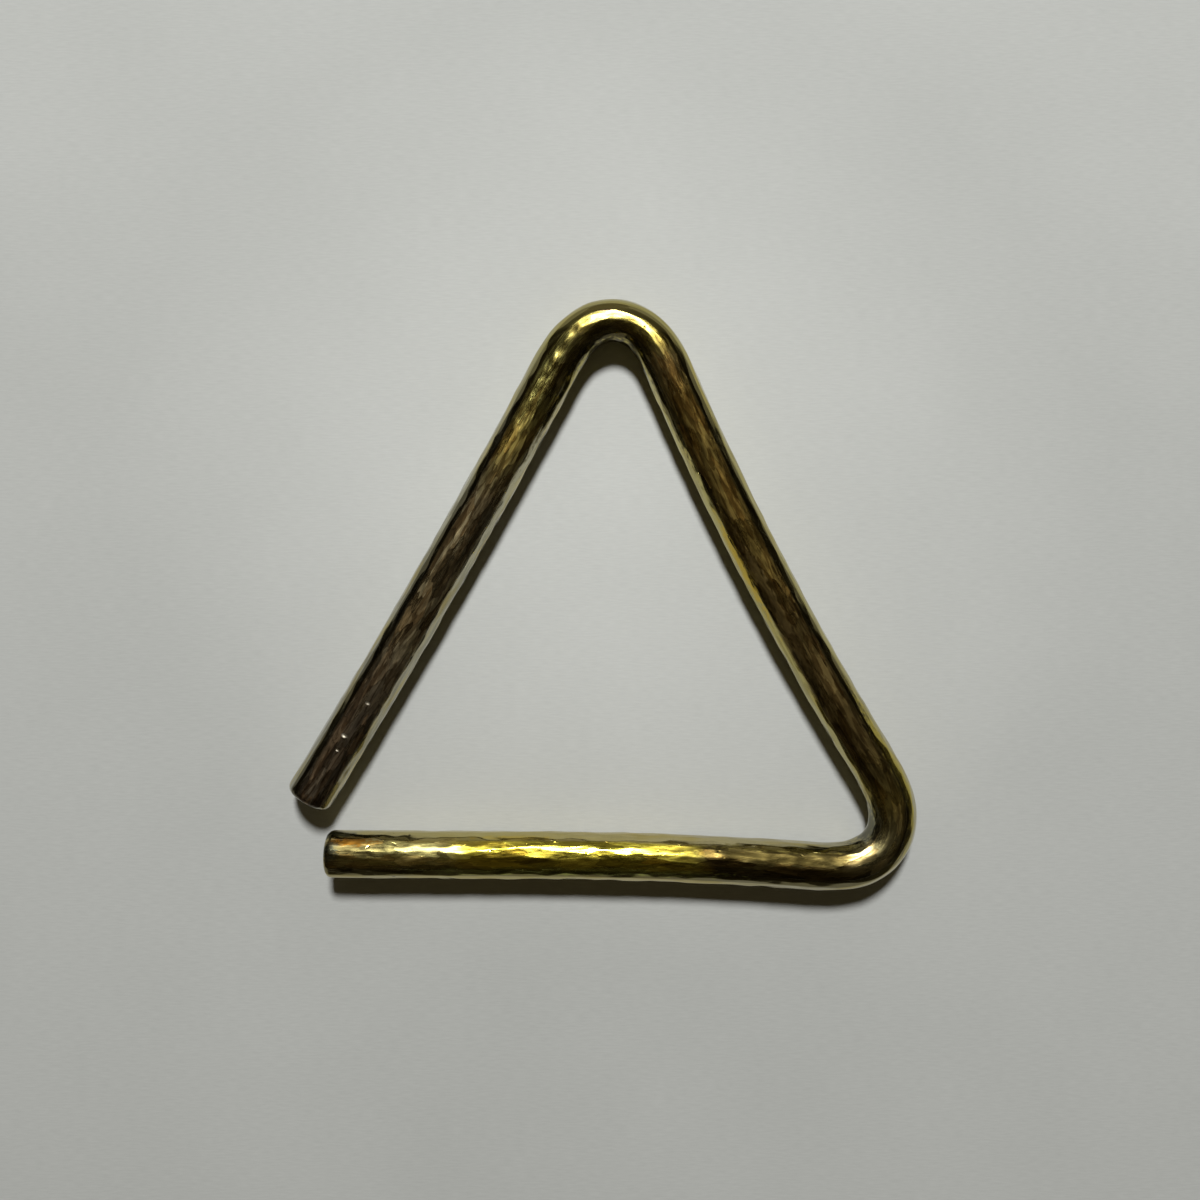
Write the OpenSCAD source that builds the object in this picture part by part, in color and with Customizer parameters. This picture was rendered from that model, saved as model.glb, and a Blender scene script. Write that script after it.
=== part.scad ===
/* [Bar] */
// Thickness of the round bar, over the ridges between its hammer marks
bar_d = 12.4; // [9:0.1:14]
// Length of the bottom leg, from its cut end to the start of the corner bend
bottom_leg = 124.4; // [105:0.1:140]
// Length of the right leg, between the corner bend and the top bend
right_leg = 112.7; // [100:0.1:130]
// Height of the middle of the left leg's cut end above the bottom leg
open_gap = 8.0; // [6:0.1:16]
// Radius of the worn edge round each cut end
end_round = 1.8; // [0.6:0.1:2.6]

/* [Bends] */
// Angle that the corner at the lower right is bent through, in degrees
corner_bend = 125.7; // [120:0.1:128]
// Tightest radius of that bend, at the middle of the bar
corner_r = 11.6; // [10:0.1:16]
// How gently that bend runs into the legs, from 0 (a plain arc) to 1
corner_ease_share = 0.8; // [0:0.05:1]
// Angle that the top is bent through, in degrees
top_bend = 128.5; // [124:0.1:130]
// Tightest radius of the top bend, at the middle of the bar
top_r = 11.7; // [10:0.1:16]
// How gently the top bend runs into the legs, from 0 (a plain arc) to 1
top_ease_share = 0.6; // [0:0.05:1]
// How much the bending form pressed the inside of the top bend flat
top_press = 1.4; // [0:0.1:2.5]

/* [Sag of the legs] */
// Angle that the bottom leg sags outwards through before the corner, in degrees
bottom_sag = 3.9; // [0:0.1:6]
// Share of the bottom leg that stays straight, from its cut end
bottom_straight_share = 0.45; // [0:0.05:0.8]
// Angle that the right leg bows inwards through, in degrees
right_bow = 8.2; // [0:0.1:10]
// Angle that the left leg bows inwards through, in degrees
left_bow = 3.3; // [0:0.1:6]

/* [Hammer marks] */
// Width of a hammer mark, round the bar
mark_w = 3.2; // [2.8:0.1:6]
// Length of a hammer mark, along the bar
mark_len = 4.8; // [4.6:0.1:10]
// Depth of a hammer mark below the ridges round it
mark_depth = 0.16; // [0:0.02:0.4]
// How unevenly the marks lie, from 0 (in strict rows) to 0.4
scatter_share = 0.28; // [0:0.02:0.4]
// How much of the marks was dressed away on the bends, from 0 (none) to 1
dressed_share = 0.7; // [0:0.05:1]

/* [Hidden] */

bar_r = bar_d / 2;
// The two blank facets that each mark takes, round the bar and along it
sides = 2 * round(PI * bar_d / mark_w);
corner_len = bend_length(corner_r, corner_bend, corner_ease_share);
top_len = bend_length(top_r, top_bend, top_ease_share);
corner_from = bottom_leg;
right_from = corner_from + corner_len;
top_from = right_from + right_leg;
left_from = top_from + top_len;

// What turns the bar, from the bottom leg's cut end up to the left leg:
// where each turn starts, its length, its angle and its ease
first_turns = [
    [bottom_straight_share * bottom_leg, (1 - bottom_straight_share) * bottom_leg, -bottom_sag, 0],
    [corner_from, corner_len, corner_bend, corner_ease_share],
    [right_from, right_leg, -right_bow, 0],
    [top_from, top_len, top_bend, top_ease_share]
];

// The left leg runs down to its gap above the bottom leg, whatever the angles
walk_steps = 240;
left_top = last(walk(first_turns, [for (i = [0 : walk_steps]) left_from * i / walk_steps]));
left_mean_heading = heading(first_turns, left_from) - left_bow / 2;
left_leg = (left_top.y - bar_r - open_gap) / -sin(left_mean_heading);
all_turns = concat(first_turns, [[left_from, left_leg, -left_bow, 0]]);
bar_len = left_from + left_leg;

// Rings of the skin: where each lies along the bar, how far it is drawn in
// from the full thickness, and how much of the hammering it takes
round_steps = 3;
rows = round((bar_len - 2 * end_round) / (mark_len / 2));
row_pitch = (bar_len - 2 * end_round) / rows;
rounding = [for (k = [0 : round_steps - 1]) 90 * k / round_steps];
rings = concat(
    [for (a = rounding) [end_round * (1 - cos(a)), end_round * (1 - sin(a)), 0]],
    [for (i = [0 : rows]) [end_round + i * row_pitch, 0, i == 0 || i == rows ? 0 : 1]],
    [for (a = [for (k = [1 : round_steps]) rounding[round_steps - k]])
        [bar_len - end_round * (1 - cos(a)), end_round * (1 - sin(a)), 0]]
);
centre_line = walk(all_turns, [for (r = rings) r[0]]);

// One throw of the dice for each corner of the skin: how far it strays round
// the bar and along it, and how much deeper or shallower than the rest it is
corners = sides * len(rings);
dice_seed = 17;
around_dice = rands(-1, 1, corners, dice_seed);
along_dice = rands(-1, 1, corners, dice_seed + 1);
depth_dice = rands(-1, 1, corners, dice_seed + 2);
depth_scatter_share = 0.5;

skin_points = [for (i = [0 : len(rings) - 1]) for (j = [0 : sides - 1]) skin_point(i, j)];
low = [for (axis = [0 : 2]) min([for (p = skin_points) p[axis]])];
high = [for (axis = [0 : 2]) max([for (p = skin_points) p[axis]])];
// The bar lies flat, with the middle of its outline over the origin
to_origin = [-(low.x + high.x) / 2, -(low.y + high.y) / 2, -low.z];

function last(list) = list[len(list) - 1];
function total(list, i = 0) = i < len(list) ? list[i] + total(list, i + 1) : 0;
function share_along(s, start, length) = max(0, min(1, (s - start) / length));

// Share of a bend's angle that is turned after share t of its length: the
// curve tightens and slackens as one wave, so no leg meets it with a kink
function turned_share(t, ease_share) = t - ease_share * sin(360 * t) / (2 * PI);
function bend_length(radius, angle, ease_share) = radius * angle * PI / 180 * (1 + ease_share);

// Direction of the bar after length s, in degrees from +X
function heading(turns, s) =
    total([for (turn = turns) turn[2] * turned_share(share_along(s, turn[0], turn[1]), turn[3])]);

// Points of the middle line at the given lengths along the bar
function walk(turns, lengths) = [
    for (i = 0, p = [0, 0]; i < len(lengths);
         p = i + 1 < len(lengths) ? p + stride(turns, lengths[i], lengths[i + 1]) : p, i = i + 1) p
];
function stride(turns, from, to) =
    let (angle = heading(turns, (from + to) / 2)) (to - from) * [cos(angle), sin(angle)];

// How far into a bend the bar is at length s: 0 on the legs, 1 mid-bend
function bend_share(s, start, length) = pow(sin(180 * share_along(s, start, length)), 2);

// Corners of the skin lie in a chequerboard of ridges and hammered hollows
function is_hollow(i, j) = (i + j) % 2 == 0;

function skin_point(i, j) =
    let (
        s = rings[i][0],
        in_corner = bend_share(s, corner_from, corner_len),
        in_top = bend_share(s, top_from, top_len),
        hammered = rings[i][2] * (1 - dressed_share * max(in_corner, in_top)),
        corner = i * sides + j,
        around = 360 / sides * (j + scatter_share * hammered * around_dice[corner]),
        along = row_pitch * scatter_share * hammered * along_dice[corner],
        unevenness = 1 + depth_scatter_share * depth_dice[corner],
        depth = mark_depth * hammered * unevenness * (is_hollow(i, j) ? 1 : scatter_share),
        pressed = cos(around) < 0 ? top_press * in_top * pow(cos(around), 2) : 0,
        r = bar_r - rings[i][1] - depth - pressed,
        angle = heading(all_turns, s),
        forward = [cos(angle), sin(angle)],
        outward = [sin(angle), -cos(angle)],
        flat = centre_line[i] + along * forward + r * cos(around) * outward
    ) [flat.x, flat.y, r * sin(around)];

// Two triangles between four corners, folded along the ridge
function skin_faces(i, j) =
    let (
        k = (j + 1) % sides,
        a = i * sides + j,
        b = i * sides + k,
        c = (i + 1) * sides + k,
        d = (i + 1) * sides + j
    ) is_hollow(i, j) ? [[a, b, d], [b, c, d]] : [[a, b, c], [a, c, d]];

module sounding_bar() {
    last_ring = (len(rings) - 1) * sides;
    first_end = [for (j = [0 : sides - 1]) sides - 1 - j];
    last_end = [for (j = [0 : sides - 1]) last_ring + j];
    skin = [for (i = [0 : len(rings) - 2]) for (j = [0 : sides - 1]) each skin_faces(i, j)];
    color([0.55, 0.43, 0.17])
        translate(to_origin)
            polyhedron(points = skin_points, faces = concat([first_end], skin, [last_end]), convexity = 6);
}

sounding_bar();
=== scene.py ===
from math import cos, pi, radians, sin

import bmesh
import bpy
import numpy as np
from mathutils import Matrix, Vector, noise


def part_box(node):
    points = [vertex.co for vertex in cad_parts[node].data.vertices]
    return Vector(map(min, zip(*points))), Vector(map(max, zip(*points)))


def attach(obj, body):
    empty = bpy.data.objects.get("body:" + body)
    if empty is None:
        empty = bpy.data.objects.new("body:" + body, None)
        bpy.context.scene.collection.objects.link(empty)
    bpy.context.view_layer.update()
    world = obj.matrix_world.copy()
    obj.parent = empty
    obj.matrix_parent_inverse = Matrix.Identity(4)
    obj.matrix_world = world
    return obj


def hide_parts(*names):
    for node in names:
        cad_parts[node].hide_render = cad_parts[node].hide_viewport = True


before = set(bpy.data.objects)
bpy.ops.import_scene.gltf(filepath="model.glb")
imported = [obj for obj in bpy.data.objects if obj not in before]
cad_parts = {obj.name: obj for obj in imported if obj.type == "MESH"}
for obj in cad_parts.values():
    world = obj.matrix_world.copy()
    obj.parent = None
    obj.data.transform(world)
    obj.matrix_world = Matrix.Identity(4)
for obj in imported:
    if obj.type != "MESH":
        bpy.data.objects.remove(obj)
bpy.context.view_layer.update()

mm = 0.001                  # the bar is worked out in millimetres and degrees

bar = {
    "thickness": 12.4,
    "bottomLeg": 124.4,
    "rightLeg": 112.7,
    "leftLeg": 128.75,
    "corner": {"radius": 11.6, "angle": 125.7, "ease": 0.8},        # ease: how gently it runs into the legs
    "top": {"radius": 11.7, "angle": 128.5, "ease": 0.6},
    "topPress": 1.4,        # how flat the former pressed the inside of the top bend
    "bottomSag": -3.9,      # what each leg turns through over its length
    "bottomStraight": 0.45,     # share of the bottom leg before its sag starts
    "rightBow": -8.2,
    "leftBow": -3.3,
    "endRound": 1.8,        # radius of the rim round each cut end
    "rimSteps": 6,
    "sides": 160,           # facets round the bar
    "pitch": 0.85,          # length of one facet along it
    "lineSteps": 9000,      # steps in which the middle line is walked
}


def turns():                # where each turn of the bar starts, its length, angle and ease
    straight = bar["bottomStraight"] * bar["bottomLeg"]
    steps = [("start", straight, 0, 0), ("bottomSag", bar["bottomLeg"] - straight, bar["bottomSag"], 0)]
    for name, leg, bow in (("corner", "rightLeg", "rightBow"), ("top", "leftLeg", "leftBow")):
        bend = bar[name]
        length = bend["radius"] * radians(bend["angle"]) * (1 + bend["ease"])
        steps += [(name, length, bend["angle"], bend["ease"]), (bow, bar[leg], bar[bow], 0)]
    start, found = 0, {}
    for name, length, angle, ease in steps:
        found[name] = (start, length, angle, ease)
        start += length
    return found, start


barTurns, barLength = turns()


def bendShare(s, name):     # 0 on the legs, 1 in the middle of that bend
    start, length = barTurns[name][:2]
    return np.sin(pi * np.clip((s - start) / length, 0, 1)) ** 2


def headingAt(s):           # direction of the bar after a length s
    angle = np.zeros_like(s)
    for start, length, degrees, ease in barTurns.values():
        t = np.clip((s - start) / length, 0, 1)
        angle += radians(degrees) * (t - ease * np.sin(2 * pi * t) / (2 * pi))
    return angle


def middleLine(s):
    fine = np.linspace(0, barLength, bar["lineSteps"] + 1)
    angle = headingAt((fine[1:] + fine[:-1]) / 2)
    x = np.concatenate([[0], np.cumsum(np.cos(angle))]) * fine[1]
    y = np.concatenate([[0], np.cumsum(np.sin(angle))]) * fine[1]
    return np.interp(s, fine, x), np.interp(s, fine, y)


def lengthAlong(edge):
    return abs(edge.verts[0].co.x - edge.verts[1].co.x)


def straightBar():          # sawn to length, its rims rounded, lying along X
    radius = bar["thickness"] / 2
    bm = bmesh.new()
    bmesh.ops.create_cone(bm, cap_ends=True, segments=bar["sides"], radius1=radius, radius2=radius,
                          depth=barLength)
    bmesh.ops.rotate(bm, verts=bm.verts, matrix=Matrix.Rotation(pi / 2, 3, "Y"))
    bmesh.ops.translate(bm, verts=bm.verts, vec=(barLength / 2, 0, 0))
    rims = [edge for edge in bm.edges if lengthAlong(edge) < bar["endRound"]]
    bmesh.ops.bevel(bm, geom=rims, offset=bar["endRound"], offset_type="OFFSET", affect="EDGES",
                    segments=bar["rimSteps"], profile=0.5, material=-1)
    long = [edge for edge in bm.edges if lengthAlong(edge) > barLength / 2]
    cuts = round((barLength - 2 * bar["endRound"]) / bar["pitch"]) - 1
    bmesh.ops.subdivide_edges(bm, edges=long, cuts=cuts)
    bmesh.ops.recalc_face_normals(bm, faces=bm.faces)
    mesh = bpy.data.meshes.new("hammered_bar")
    bm.to_mesh(mesh)
    bm.free()
    return mesh


# depth is how far a blow goes below the ridges, face the radius that the hammer leaves along the bar
hammer = {
    "passes": [             # first the heavy blows, then a lighter round over them
        {"along": 9.0, "round": 3.3, "stray": 0.30, "depth": (0.13, 0.25), "face": (70, 200), "skew": 5},
        {"along": 5.0, "round": 2.2, "stray": 0.50, "depth": (0.13, 0.25), "face": (25, 70), "skew": 10},
    ],
    "drift": 0.22,          # how far each ring of blows is turned from the last, in blows
    "rows": [               # runs of blows side by side; turn: at mm along, degrees inwards from the top
        {"from": 8, "to": 92, "turn": [(0, 26), (92, 26)],
         "along": 5.0, "stray": 2.5, "depth": (0.15, 0.20), "face": (60, 160)},
        {"from": 99, "to": 134, "turn": [(99, 26), (134, 26)],
         "along": 6.5, "stray": 3.0, "depth": (0.16, 0.22), "face": (12, 26)},
        {"from": 137, "to": 149, "turn": [(137, 27), (149, 23)],
         "along": 3.0, "stray": 2.0, "depth": (0.18, 0.23), "face": (30, 60)},
        {"from": 289, "to": 308, "turn": [(290, -4), (296, -8), (304, -10), (308, -9)],
         "along": 3.2, "stray": 2.0, "depth": (0.18, 0.23), "face": (25, 60)},
        {"from": 311, "to": 340, "turn": [(311, -8), (322, -5), (340, -4)],
         "along": 4.6, "stray": 4.0, "depth": (0.27, 0.35), "face": (9, 13)},
    ],
    "rowStray": 1,          # how far along the bar a blow in a row may miss
    "dips": [               # where bending drew the upper side a little hollow
        {"at": 150, "reach": 12, "depth": 0.6},
        {"at": 301, "reach": 12, "depth": 0.7},
    ],
    "ridge": 0.008,         # how far the polishing wore the ridges round
    "dressed": {"corner": 0.02, "top": 0.008},      # how much further on the bends
    "polished": 0.06,       # and how much it took off the highest ones
    "below": 0.002,         # by which every ridge stays under the full thickness
    "reach": 11,            # nothing this far along the bar from a blow feels it
    "reachRound": 1,        # nor this far round it, in radians
    "sawnFace": 0.85,       # share of the radius inside which the cut ends were never struck
    "ripple": [             # drawn-out ripples left by the forging: per mm along and across, height
        (0.07, 0.55, 0.016),
        (0.12, 1.20, 0.008),
    ],
    "seed": 5,
}


def blows(dice, strokes):   # where the hammer fell, ring after ring, each blow a little off its place
    count = round(pi * bar["thickness"] / strokes["round"])
    turned = 0
    for ring in range(-1, round(barLength / strokes["along"]) + 2):
        turned += dice.uniform(-hammer["drift"], hammer["drift"])
        for i in range(count):
            strayAlong, strayRound = strokes["stray"] * dice.uniform(-1, 1, 2)
            skew = radians(strokes["skew"]) * dice.uniform(-1, 1)
            yield ((ring + strayAlong) * strokes["along"], (i + turned + strayRound) * 2 * pi / count,
                   dice.uniform(*strokes["depth"]), dice.uniform(*strokes["face"]), skew)


def rowOfBlows(dice, row):
    for at in np.arange(row["from"], row["to"], row["along"]):
        at += dice.uniform(-hammer["rowStray"], hammer["rowStray"])
        turn = 90 - np.interp(at, *zip(*row["turn"])) + row["stray"] * dice.uniform(-1, 1)
        yield at, radians(turn), dice.uniform(*row["depth"]), dice.uniform(*row["face"]), 0


def allBlows():
    dice = np.random.default_rng(hammer["seed"])
    for strokes in hammer["passes"]:
        yield from blows(dice, strokes)
    for row in hammer["rows"]:
        yield from rowOfBlows(dice, row)


def hammerDepth(co):        # each blow leaves a flat, and the lowest flat is what stays
    s, full = co[:, 0], bar["thickness"] / 2
    angle = np.arctan2(co[:, 2], co[:, 1])
    ridge = hammer["ridge"] + sum(more * bendShare(s, name) for name, more in hammer["dressed"].items())
    order = np.argsort(s)
    sortedS = s[order]
    heap = np.ones_like(s)
    for at, turn, depth, face, skew in allBlows():
        first, last = np.searchsorted(sortedS, [at - hammer["reach"], at + hammer["reach"]])
        near = order[first:last]
        across = (angle[near] - turn + pi) % (2 * pi) - pi
        felt = np.abs(across) < hammer["reachRound"]
        near, across = near[felt], full * across[felt]
        u = (s[near] - at) * cos(skew) + across * sin(skew)
        v = across * cos(skew) - (s[near] - at) * sin(skew)
        lift = v * v / (2 * full) + u * u / (2 * face) - depth
        heap[near] += np.exp(-lift / ridge[near])
    sunk = ridge * np.log(heap)
    for along, across, height in hammer["ripple"]:
        scale = Vector((along, across, across))
        sunk += height * np.array([noise.noise(Vector(place) * scale) for place in co])
    sunk = np.maximum(sunk - sunk.min() - hammer["polished"], 0) + hammer["below"]
    struck = (np.hypot(co[:, 1], co[:, 2]) / full - hammer["sawnFace"]) / (1 - hammer["sawnFace"])
    return sunk * np.clip(struck, 0, 1)


def dipDepth(co):
    s, full = co[:, 0], bar["thickness"] / 2
    dipped = np.zeros_like(s)
    for dip in hammer["dips"]:
        near = np.cos(pi / 2 * np.clip((s - dip["at"]) / dip["reach"], -1, 1)) ** 2
        dipped += dip["depth"] * near * np.clip(co[:, 2] / full, 0, 1)
    return dipped


def hammered(co):           # the struck skin, and how deep the hammer went at each point
    sunk = hammerDepth(co)
    print("hammered to a depth of", np.percentile(sunk, [1, 50, 99]).round(3), "mm")
    struck = co.copy()
    struck[:, 1:] *= (1 - (sunk + dipDepth(co)) / np.hypot(co[:, 1], co[:, 2]))[:, None]
    return struck, sunk


def bent(co):               # the straight bar wrapped round both formers
    s = co[:, 0]
    x, y = middleLine(s)
    angle = headingAt(s)
    out, up = -co[:, 1], co[:, 2]
    inner = np.where(out < 0, out * out / (out * out + up * up), 0)
    squeeze = 1 - bar["topPress"] * bendShare(s, "top") * inner / (bar["thickness"] / 2)
    out, up = out * squeeze, up * squeeze
    return np.stack([x + out * np.sin(angle), y - out * np.cos(angle), up], axis=1)


def hammeredBar():
    mesh = straightBar()
    flat = np.empty(len(mesh.vertices) * 3)
    mesh.vertices.foreach_get("co", flat)
    straight, sunk = hammered(flat.reshape(-1, 3))
    mesh.attributes.new("barPlace", "FLOAT_VECTOR", "POINT")      # the finish follows the bar, not the room
    mesh.attributes["barPlace"].data.foreach_set("vector", straight.ravel())
    mesh.attributes.new("sunk", "FLOAT", "POINT")
    mesh.attributes["sunk"].data.foreach_set("value", sunk)
    co = bent(straight) * mm
    low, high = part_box("sounding_bar")
    for axis in (0, 1):
        co[:, axis] += (low[axis] + high[axis] - co[:, axis].min() - co[:, axis].max()) / 2
    co[:, 2] += low[2] - co[:, 2].min()
    mesh.vertices.foreach_set("co", co.ravel())
    mesh.polygons.foreach_set("use_smooth", np.ones(len(mesh.polygons), dtype=bool))
    mesh.update()
    made = bpy.data.objects.new("hammered_bar", mesh)
    bpy.context.collection.objects.link(made)
    return made


def newMaterial(name):
    material = bpy.data.materials.new(name)
    material.use_nodes = True
    tree = material.node_tree
    return material, tree, tree.nodes["Principled BSDF"]


def node(tree, kind, **values):     # a node with its settings, inputs by name: links or plain values
    made = tree.nodes.new("ShaderNode" + kind)
    for name, value in values.items():
        if hasattr(made, name):
            setattr(made, name, value)
    for name, value in values.items():
        if not hasattr(made, name):
            socket = made.inputs[int(name[1:])] if name[1:].isdigit() else made.inputs[name]
            if isinstance(value, bpy.types.NodeSocket):
                tree.links.new(value, socket)
            else:
                socket.default_value = value
    return made


def maths(tree, operation, a, b=0.0):
    return node(tree, "Math", operation=operation, i0=a, i1=b).outputs[0]


def plus(tree, a, b):
    return maths(tree, "ADD", a, b)


def minus(tree, a, b):
    return maths(tree, "SUBTRACT", a, b)


def times(tree, a, b):
    return maths(tree, "MULTIPLY", a, b)


def vectorMaths(tree, operation, a, b):
    return node(tree, "VectorMath", operation=operation, i0=a, i1=b).outputs[0]


def scaled(tree, vector, factor):
    return node(tree, "VectorMath", operation="SCALE", i0=vector, Scale=factor).outputs[0]


def mixed(tree, share, first, second, blend="MIX"):
    return node(tree, "Mix", data_type="RGBA", blend_type=blend, i0=share, i6=first, i7=second).outputs[2]


def spread(tree, value, low, high, newLow=0.0, newHigh=1.0):
    return node(tree, "MapRange", i0=value, i1=low, i2=high, i3=newLow, i4=newHigh).outputs[0]


def spreadNoise(tree, value, newLow=0.0, newHigh=1.0):      # noise seldom leaves the range from 0.3 to 0.7
    return spread(tree, value, 0.3, 0.7, newLow, newHigh)


def colourRamp(tree, where, stops):
    ramp = node(tree, "ValToRGB", Fac=where)
    colours = ramp.color_ramp.elements
    while len(colours) < len(stops):
        colours.new(0.5)
    for element, (position, colour) in zip(colours, stops):
        element.position = position
        element.color = colour
    return ramp


def grain(tree, place, size, detail=3.0, distortion=0.0):       # noise drawn out along the bar
    drawn = vectorMaths(tree, "MULTIPLY", place, (size[0], size[1], size[1]))
    made = node(tree, "TexNoise", Vector=drawn, Scale=1.0, Detail=detail, Distortion=distortion)
    return made.outputs["Fac"]


def veins(tree, place, size, width):        # thin lines that wander along the bar
    field = grain(tree, place, size, detail=2.0, distortion=1.0)
    return spread(tree, maths(tree, "ABSOLUTE", minus(tree, field, 0.5)), width, 0.0)


def scales(tree, place, size):      # uneven scales drawn out along the bar, with crisp borders between them
    drawn = vectorMaths(tree, "MULTIPLY", place, (1 / size["length"], 1 / size["width"], 1 / size["width"]))
    stray = node(tree, "TexNoise", Vector=drawn, Scale=0.9, Detail=2.0).outputs["Color"]
    strayed = vectorMaths(tree, "ADD", drawn, scaled(tree, stray, size["stray"]))
    cells = node(tree, "TexVoronoi", Vector=strayed, Scale=1.0).outputs
    return {"place": strayed, "middle": cells["Position"], "far": cells["Distance"], "dice": cells["Color"]}


def scaleRelief(tree, cells, size):     # height in mm: hollowed a little, and each tilted its own way
    off = vectorMaths(tree, "SUBTRACT", cells["place"], cells["middle"])
    lean = vectorMaths(tree, "SUBTRACT", cells["dice"], (0.5, 0.5, 0.5))
    leaning = node(tree, "VectorMath", operation="DOT_PRODUCT", i0=off, i1=lean).outputs["Value"]
    hollow = times(tree, times(tree, cells["far"], cells["far"]), size["bowl"])
    return plus(tree, hollow, times(tree, leaning, size["tilt"]))


def roll(tree, cells, channel, low, high):      # one random value for each scale
    return spread(tree, node(tree, "SeparateColor", i0=cells["dice"]).outputs[channel], 0, 1, low, high)


def scaleBorders(tree, cells, width):       # 1 on the border between two scales
    edge = node(tree, "TexVoronoi", feature="DISTANCE_TO_EDGE", Vector=cells["place"], Scale=1.0)
    return spread(tree, edge.outputs["Distance"], width, 0)


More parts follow.
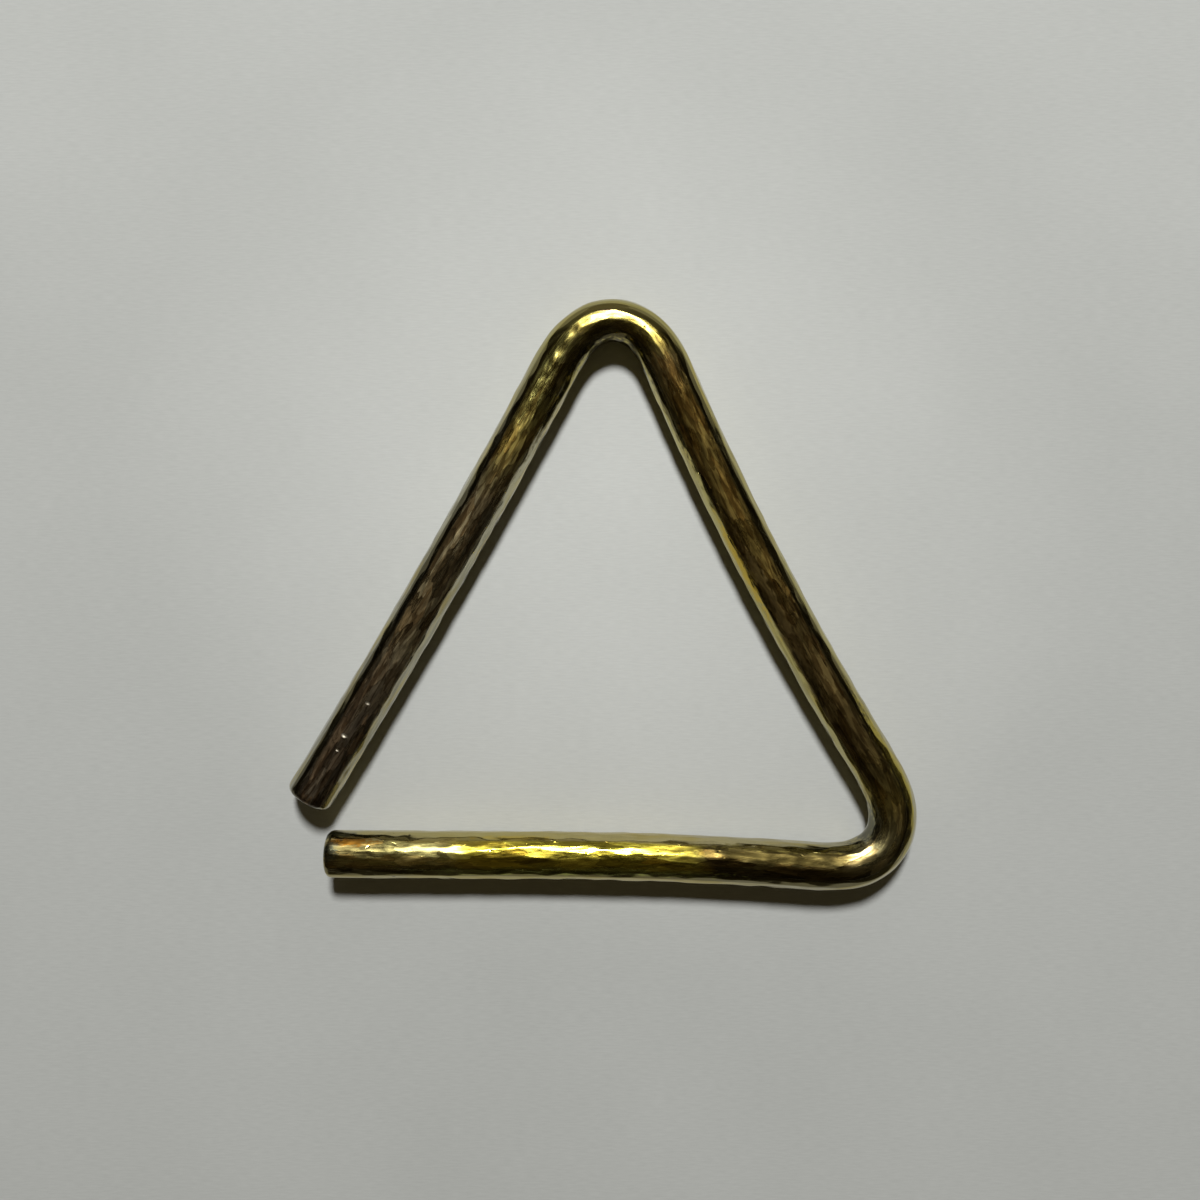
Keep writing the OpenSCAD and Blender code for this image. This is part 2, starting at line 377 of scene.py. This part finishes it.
# the size of a grain or a vein is how many there are to the mm, along the bar and across it
patina = {
    "tones": {              # what each stretch of the bar reflects on its crown, and how rough it is there
        "rust": (0.26, 0.200, 0.075, 0.21),
        "straw": (0.40, 0.350, 0.130, 0.18),
        "gold": (0.44, 0.372, 0.048, 0.16),
        "smoke": (0.056, 0.043, 0.014, 0.27),
        "steel": (0.26, 0.230, 0.11, 0.22),
        "umber": (0.108, 0.078, 0.028, 0.31),
        "russet": (0.122, 0.086, 0.023, 0.31),
        "yellow": (0.34, 0.285, 0.070, 0.14),
        "honey": (0.17, 0.145, 0.040, 0.20),
        "olive": (0.19, 0.147, 0.040, 0.32),
        "lime": (0.30, 0.274, 0.085, 0.17),
        "walnut": (0.168, 0.138, 0.076, 0.30),
        "soot": (0.132, 0.106, 0.071, 0.33),
    },
    "along": [              # mm from the bottom leg's cut end at which each tone is at its clearest
        (0, "rust"), (14, "straw"), (34, "straw"), (44, "gold"), (86, "gold"), (97, "smoke"), (131, "smoke"),
        (141, "steel"), (158, "olive"), (178, "umber"), (205, "umber"), (228, "russet"), (272, "russet"),
        (283, "umber"), (293, "yellow"), (299, "yellow"), (306, "honey"), (311, "honey"), (317, "lime"),
        (334, "lime"), (345, "olive"), (365, "walnut"), (400, "walnut"), (425, "soot"), (barLength, "soot"),
    ],
    "flanks": [             # their own tones, smoother than the crown; last, how plain the light taps are
        (0, (0.47, 0.41, 0.23, 0.35)), (40, (0.55, 0.47, 0.18, 0.25)), (90, (0.56, 0.48, 0.24, 0.5)),
        (130, (0.45, 0.41, 0.26, 0.3)), (160, (0.48, 0.43, 0.22, 0.5)), (200, (0.48, 0.42, 0.17, 0.7)),
        (276, (0.48, 0.42, 0.16, 0.7)), (290, (0.42, 0.36, 0.11, 0.3)), (322, (0.42, 0.37, 0.13, 0.3)),
        (340, (0.45, 0.42, 0.29, 1.0)), (barLength, (0.43, 0.41, 0.33, 1.0)),
    ],
    "flankRoughness": 0.12,
    "flankRelief": 0.35,    # share of the bump that is left there
    "wander": {"size": (0.05, 0.10), "reach": 30.0},        # mm within which a tone strays, half each way
    "crown": {              # mm above the middle of the bar between which a flank gives way to the crown
        "height": (4.6, 5.1), "leanInwards": 0.2, "inHollows": 0.2,
    },
    "hollows": (0.06, 0.20),        # depths between which a ridge gives way to a hollow
    "plain": (0.2, 0.7),    # between these, the looks that go with the light taps come in
    "film": {               # dark tarnish, thicker in the hollows
        "size": (0.10, 0.80), "range": (0.525, 0.55), "inHollows": 0.05, "least": 0.35,
        "tone": (0.46, 0.41, 0.36, 1), "onFlanks": 0.25, "rougher": 0.05,
    },
    "taps": {               # the light taps of the last hammering, each with its own tone and tilt
        "length": 8.5, "width": 1.9, "stray": 1.5, "bowl": 0.10, "tilt": 0.16, "border": 0.03,
        "light": (0.60, 1.45), "warm": (-0.5, 0.5), "warmTone": (1.0, 0.72, 0.45, 1),
        "rougher": (-0.10, 0.15), "least": 0.5,
    },
    "flakes": {             # the finer scales on them
        "length": 3.6, "width": 0.8, "stray": 1.3, "bowl": 0.012, "tilt": 0.014, "light": (0.78, 1.25),
    },
    "nicks": {              # tiny dents, in the cells whose random value is high enough
        "length": 4.0, "width": 2.2, "stray": 0.9, "rim": (0.15, 0.02), "picked": (0.60, 0.62),
        "depth": 0.055,
    },
    "cracks": {
        "size": (0.09, 1.1), "width": 0.012, "share": (0.4, 0.7), "tone": (0.22, 0.17, 0.12, 1),
    },
    "scratches": {          # bright, in patches
        "size": (0.08, 0.9), "width": 0.010, "patches": (0.03, 0.20), "range": (0.47, 0.60),
        "tone": (2.6, 2.5, 2.2, 1),
    },
    "golden": {             # patches on the flanks
        "size": (0.07, 0.35), "range": (0.50, 0.62), "share": 0.6, "tone": (0.52, 0.42, 0.13, 1),
    },
    "edge": {               # painted reflection: a dark band along the top of the outer flank, olive or near black, where the flank mirrors the dim room near the horizon
        "height": (3.02, 3.22), "across": (-1, -2), "share": 0.85, "least": 0.8,
        "olive": (0.17, 0.138, 0.045, 1), "black": (0.080, 0.067, 0.032, 1),
    },
    "brushed": {"size": (0.25, 18.0), "range": (0.53, 0.57), "rougher": 0.26, "least": 0.3},
    "bloom": {"size": (0.4, 6.0), "height": 0.001},     # fine grain of the tarnish in the bump
    "spots": [              # stains, and painted shade where marked: place along and across the bar, size each way, colour, strength
        {"at": (6.8, 4.4), "size": (8.0, 1.7), "colour": (0.31, 0.130, 0.010), "share": 0.85},
        {"at": (1.6, 2.4), "size": (3.4, 3.2), "colour": (0.07, 0.075, 0.050), "share": 0.85},
        {"at": (1.0, 5.7), "size": (9.0, 2.0), "colour": (0.07, 0.070, 0.045), "share": 0.9},
        {"at": (117, 4.7), "size": (24, 1.2), "colour": (0.22, 0.178, 0.048), "share": 0.8},
        {"at": (113, 2.4), "size": (24, 1.7), "colour": (0.034, 0.026, 0.007), "share": 0.6},
        {"at": (49, 5.2), "size": (13, 1.0), "colour": (0.62, 0.46, 0.090), "share": 0.7},
        {"at": (149, 6.0), "size": (14, 3.2), "colour": (0.10, 0.105, 0.095), "share": 0.8},
        {"at": (229, 5.2), "size": (18, 1.4), "colour": (0.58, 0.40, 0.050), "share": 0.8},
        {"at": (62, -3.0), "size": (44, 1.6), "colour": (0.42, 0.44, 0.100), "share": 0.6},
        {"at": (276, 5.2), "size": (22, 1.4), "colour": (0.10, 0.080, 0.035), "share": 0.9},
        {"at": (335, 5.2), "size": (18, 1.1), "colour": (0.10, 0.080, 0.030), "share": 0.8},
        {"at": (167, -4.2), "size": (22, 1.9), "colour": (0.62, 0.500, 0.100), "share": 0.8},
        {"at": (215, 2.7), "size": (30, 1.8), "colour": (0.22, 0.158, 0.060), "share": 0.5},
        # painted shade: the next four darken the inner half of the top bend and its inner flank, which face
        # away from the lamp and mirror the paper in the bar's own shadow
        {"at": (303, 3.8), "size": (24, 4.0), "colour": (0.11, 0.083, 0.030), "share": 0.9},
        {"at": (322, 2.8), "size": (14, 2.2), "colour": (0.11, 0.086, 0.030), "share": 0.8},
        {"at": (303, 6.2), "size": (26, 2.6), "colour": (0.10, 0.090, 0.070), "share": 0.9},
        {"at": (308, 4.8), "size": (36, 1.3), "colour": (0.07, 0.058, 0.030), "share": 0.95},
        {"at": (305.7, -1.6), "size": (2.6, 1.3), "colour": (0.13, 0.085, 0.050), "share": 0.9},
        {"at": (21.7, 5.7), "size": (0.5, 0.5), "colour": (0.02, 0.018, 0.015), "share": 1.0},
        {"at": (17.9, -4.9), "size": (0.6, 0.5), "colour": (0.02, 0.018, 0.015), "share": 1.0},
    ],
    "ragged": {"size": (0.6, 1.6), "reach": 0.45},      # how uneven the borders of the stains and of the painted shade are
    "dents": [              # three small ones near the left leg's end, worn bright
        {"at": (423.1, 1.2), "size": (0.6, 0.9)},
        {"at": (433.2, 0.4), "size": (0.7, 1.1)},
        {"at": (437.2, 0.7), "size": (0.55, 0.8)},
    ],
    "dentDepth": 0.13,
    "dentTone": (0.80, 0.74, 0.60, 1),
    "dentSmoother": 0.12,   # nicks and dents are smoother than the crown round them
}


def tonesAlong(tree, place, s):     # the crown's tones and the flanks', over the length of the bar
    reach = patina["wander"]["reach"]
    wander = times(tree, grain(tree, place, patina["wander"]["size"]), reach)
    where = spread(tree, plus(tree, s, wander), reach / 2, barLength + reach / 2)
    crown = [(at / barLength, patina["tones"][tone]) for at, tone in patina["along"]]
    flanks = [(at / barLength, tone) for at, tone in patina["flanks"]]
    return colourRamp(tree, where, crown), colourRamp(tree, where, flanks)


def byPlain(tree, plain, least):        # 1 where the light taps are plain, less where they hardly show
    return spread(tree, plain, *patina["plain"], least, 1.0)


def crownHeight(tree, across, up, sunk):
    crown = patina["crown"]
    height = plus(tree, maths(tree, "ABSOLUTE", up), times(tree, across, crown["leanInwards"]))
    return plus(tree, height, spread(tree, sunk, *patina["hollows"], -crown["inHollows"], crown["inHollows"]))


def tarnish(tree, place, sunk, plain):
    film = patina["film"]
    thick = grain(tree, place, film["size"], detail=3.5, distortion=0.8)
    thick = plus(tree, thick, times(tree, spread(tree, sunk, *patina["hollows"]), film["inHollows"]))
    return times(tree, spread(tree, thick, *film["range"]), byPlain(tree, plain, film["least"]))


def crownTone(tree, place, tone, film, taps, flakes, plain):
    tone = mixed(tree, film, tone, patina["film"]["tone"], "MULTIPLY")
    lighter = times(tree, roll(tree, taps, 0, *patina["taps"]["light"]),
                    roll(tree, flakes, 0, *patina["flakes"]["light"]))
    tone = scaled(tree, tone, lighter)
    warm = roll(tree, taps, 1, *patina["taps"]["warm"])
    tone = mixed(tree, warm, tone, patina["taps"]["warmTone"], "MULTIPLY")

    cracks = patina["cracks"]
    cracked = maths(tree, "MAXIMUM", veins(tree, place, cracks["size"], cracks["width"]),
                    scaleBorders(tree, taps, patina["taps"]["border"]))
    cracked = times(tree, cracked, spread(tree, plain, patina["plain"][0], 1.0, *cracks["share"]))
    tone = mixed(tree, cracked, tone, cracks["tone"], "MULTIPLY")

    scratches = patina["scratches"]
    patches = spread(tree, grain(tree, place, scratches["patches"]), *scratches["range"])
    scratched = times(tree, veins(tree, place, scratches["size"], scratches["width"]), patches)
    return mixed(tree, scratched, tone, scratches["tone"], "MULTIPLY")


def flankTone(tree, place, tone, film, tarnished, height, across, plain):
    golden = patina["golden"]
    patches = grain(tree, place, golden["size"], detail=4.0)
    patches = spread(tree, patches, *golden["range"], 0.0, golden["share"])
    tone = mixed(tree, patches, tone, golden["tone"])
    tone = mixed(tree, times(tree, film, patina["film"]["onFlanks"]), tone, tarnished)

    # painted reflection: a dark band along the top of the outer flank, standing in for the dim room mirrored
    # there
    edge = patina["edge"]
    dark = times(tree, spread(tree, height, *edge["height"]),
                 spread(tree, across, *edge["across"], 0.0, edge["share"]))
    dark = times(tree, dark, byPlain(tree, plain, edge["least"]))
    return mixed(tree, dark, tone, mixed(tree, plain, edge["olive"], edge["black"]))


def farFrom(tree, place, spot):     # how far from a spot, 1 at the end of its size
    s, y = spot["at"]
    z = (bar["thickness"] ** 2 / 4 - y * y) ** 0.5
    off = vectorMaths(tree, "SUBTRACT", place, (s, y, z))
    off = vectorMaths(tree, "DIVIDE", off, (spot["size"][0], spot["size"][1], spot["size"][1]))
    return node(tree, "VectorMath", operation="LENGTH", i0=off).outputs["Value"]


# lays the stains, and the patches of painted shade inside the top bend
def stainsAndPaintedShade(tree, place, tone):
    reach = patina["ragged"]["reach"]
    ragged = spreadNoise(tree, grain(tree, place, patina["ragged"]["size"], detail=4.0), -reach, reach)
    for spot in patina["spots"]:
        far = plus(tree, farFrom(tree, place, spot), ragged)
        share = spread(tree, far, 1.0, 0.5, 0.0, spot["share"])
        tone = mixed(tree, share, tone, (*spot["colour"], 1))
    return tone


def dents(tree, place):     # 1 in the middle of each dent, 0 round it
    dented = 0.0
    for dent in patina["dents"]:
        far = farFrom(tree, place, dent)
        near = node(tree, "MapRange", interpolation_type="SMOOTHSTEP", i0=far, i1=1.0, i2=0.0)
        dented = plus(tree, dented, near.outputs[0])
    return dented


def nicks(tree, place, crown):
    size = patina["nicks"]
    cells = scales(tree, place, size)
    picked = spread(tree, roll(tree, cells, 2, 0, 1), *size["picked"])
    return times(tree, times(tree, spread(tree, cells["far"], *size["rim"]), picked), crown)


def roughness(tree, place, smooth, film, taps, plain, crown, worn):
    streaks = patina["brushed"]
    brushed = grain(tree, place, streaks["size"], detail=2.0)
    brushed = spread(tree, brushed, *streaks["range"], 0.0, streaks["rougher"])
    brushed = times(tree, brushed, byPlain(tree, plain, streaks["least"]))
    dull = roll(tree, taps, 2, *patina["taps"]["rougher"])
    dull = times(tree, dull, byPlain(tree, plain, patina["taps"]["least"]))
    rough = plus(tree, smooth, times(tree, film, patina["film"]["rougher"]))
    rough = plus(tree, rough, plus(tree, brushed, dull))
    rough = minus(tree, rough, times(tree, worn, patina["dentSmoother"]))
    return node(tree, "Mix", data_type="FLOAT", i0=crown, i2=patina["flankRoughness"], i3=rough).outputs[0]


def bumpHeight(tree, place, taps, flakes, plain, crown, nick, dented):      # in mm
    relief = plus(tree, scaleRelief(tree, taps, patina["taps"]), scaleRelief(tree, flakes, patina["flakes"]))
    relief = times(tree, relief, plain)
    bloom = grain(tree, place, patina["bloom"]["size"], detail=2.0)
    relief = plus(tree, relief, times(tree, bloom, patina["bloom"]["height"]))
    relief = times(tree, relief, spread(tree, crown, 0, 1, patina["flankRelief"], 1))
    relief = minus(tree, relief, times(tree, nick, patina["nicks"]["depth"]))
    return minus(tree, relief, times(tree, dented, patina["dentDepth"]))


# the brass with its patina, plus the painted shade inside the top bend and the painted dark reflection on the
# outer flank
def brassPatinaAndPaintedShade():
    material, tree, shader = newMaterial("patinated_brass")
    place = node(tree, "Attribute", attribute_name="barPlace").outputs["Vector"]
    sunk = node(tree, "Attribute", attribute_name="sunk").outputs["Fac"]
    s, across, up = node(tree, "SeparateXYZ", i0=place).outputs
    height = crownHeight(tree, across, up, sunk)
    crown = spread(tree, height, *patina["crown"]["height"])
    crownRamp, flankRamp = tonesAlong(tree, place, s)
    plain = flankRamp.outputs["Alpha"]
    film = tarnish(tree, place, sunk, plain)
    taps = scales(tree, place, patina["taps"])
    flakes = scales(tree, place, patina["flakes"])
    nick = nicks(tree, place, crown)
    dented = dents(tree, place)

    tone = crownTone(tree, place, crownRamp.outputs["Color"], film, taps, flakes, plain)
    # the flanks' tone, with the painted dark reflection along the outer one
    flank = flankTone(tree, place, flankRamp.outputs["Color"], film, tone, height, across, plain)
    # stains, and the painted shade inside the top bend
    tone = stainsAndPaintedShade(tree, place, mixed(tree, crown, flank, tone))
    tone = mixed(tree, dented, tone, patina["dentTone"])
    tree.links.new(tone, shader.inputs["Base Color"])
    shader.inputs["Metallic"].default_value = 1.0

    worn = plus(tree, nick, dented)
    rough = roughness(tree, place, crownRamp.outputs["Alpha"], film, taps, plain, crown, worn)
    tree.links.new(rough, shader.inputs["Roughness"])
    relief = bumpHeight(tree, place, taps, flakes, plain, crown, nick, dented)
    bump = node(tree, "Bump", Strength=1.0, Distance=mm, Height=relief)
    tree.links.new(bump.outputs["Normal"], shader.inputs["Normal"])
    return material


paper = {                   # in metres
    "size": 4.0,
    "tones": ((0.517, 0.530, 0.506, 1), (0.547, 0.560, 0.536, 1)),
    "clouds": 14.0,         # how many to the metre
    "fibres": (300, 2600, 1),       # the same along X, Y and Z
    "fibreShade": (0.96, 1.04),
    # painted pool of light: round this point the paper's colour is scaled by the first shade factor, falling
    # to the second further out
    "paintedLightMiddle": (0, 0.03, 0),
    "fades": 0.13,          # how far from there the painted light is at its darkest
    "shade": (1.04, 0.83),
    "roughness": 0.9,
}


def palePaper():
    material, tree, shader = newMaterial("pale_paper")
    place = node(tree, "TexCoord").outputs["Object"]
    cloud = node(tree, "TexNoise", Vector=place, Scale=paper["clouds"], Detail=3.0).outputs["Fac"]
    tone = mixed(tree, spreadNoise(tree, cloud), *paper["tones"])
    drawn = vectorMaths(tree, "MULTIPLY", place, paper["fibres"])
    fibre = node(tree, "TexNoise", Vector=drawn, Scale=1.0, Detail=3.0).outputs["Fac"]
    tone = scaled(tree, tone, spreadNoise(tree, fibre, *paper["fibreShade"]))
    # painted pool of light: the paper's colour is brighter round its middle and darker further out
    far = node(tree, "VectorMath", operation="DISTANCE", i0=place, i1=paper["paintedLightMiddle"]).outputs["Value"]
    tone = scaled(tree, tone, spread(tree, far, 0.0, paper["fades"], *paper["shade"]))
    tree.links.new(tone, shader.inputs["Base Color"])
    shader.inputs["Roughness"].default_value = paper["roughness"]
    return material


def paleFloor():
    bm = bmesh.new()
    bmesh.ops.create_grid(bm, x_segments=1, y_segments=1, size=paper["size"])
    mesh = bpy.data.meshes.new("floor")
    bm.to_mesh(mesh)
    bm.free()
    floor = bpy.data.objects.new("floor", mesh)
    bpy.context.collection.objects.link(floor)
    mesh.materials.append(palePaper())


studio = {
    "lampDistance": 1.6,
    "lampHeight": 53,       # degrees above the floor, beyond the top bend
    "lampWidth": 0.28,
    "lampPower": 30,
    "wall": (0.32, 0.31, 0.27, 1),      # a dim wall behind the lamp
    "wallFrom": (0.70, 0.92),       # how nearly one looks along +Y where it starts, and where it is full
    "sky": [                # radiance of the dim room, from the horizon to straight overhead
        (0.00, (0.050, 0.047, 0.038, 1)),
        (0.22, (0.042, 0.038, 0.029, 1)),
        (0.36, (0.009, 0.007, 0.004, 1)),
        (0.60, (0.036, 0.028, 0.014, 1)),
        (1.00, (0.066, 0.051, 0.024, 1)),
    ],
}


def lights():
    lamp = bpy.data.lights.new("key", "AREA")
    lamp.shape = "DISK"
    lamp.size = studio["lampWidth"]
    lamp.energy = studio["lampPower"]
    key = bpy.data.objects.new("key", lamp)
    height = radians(studio["lampHeight"])
    key.location = (0, studio["lampDistance"] * cos(height), studio["lampDistance"] * sin(height))
    key.rotation_euler = (height - pi / 2, 0, 0)
    bpy.context.collection.objects.link(key)


def dimRoom():
    world = bpy.data.worlds.new("dim_room")
    world.use_nodes = True
    tree = world.node_tree
    direction = node(tree, "TexCoord").outputs["Generated"]
    ahead, up = node(tree, "SeparateXYZ", i0=direction).outputs[1:]
    sky = colourRamp(tree, up, studio["sky"]).outputs["Color"]
    room = mixed(tree, spread(tree, ahead, *studio["wallFrom"]), sky, studio["wall"])
    tree.links.new(room, tree.nodes["Background"].inputs["Color"])
    bpy.context.scene.world = world


view = {
    "place": (-1.06, -1.58, 294.4),     # mm, straight above the triangle
    "turn": 0.288,
    "lens": 33.27,
    "sensor": 36,
}


def camera():
    data = bpy.data.cameras.new("above")
    data.sensor_width = view["sensor"]
    data.lens = view["lens"]
    above = bpy.data.objects.new("above", data)
    above.location = [distance * mm for distance in view["place"]]
    above.rotation_euler = (0, 0, radians(view["turn"]))
    bpy.context.collection.objects.link(above)
    bpy.context.scene.camera = above


triangle = hammeredBar()
print("bar hammered and bent:", len(triangle.data.polygons), "faces")
triangle.data.materials.append(brassPatinaAndPaintedShade())
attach(triangle, "root")
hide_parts("sounding_bar")
print("patina laid on")

paleFloor()
lights()
dimRoom()
camera()
bpy.context.scene.view_settings.view_transform = "Standard"
print("floor, light and camera set")
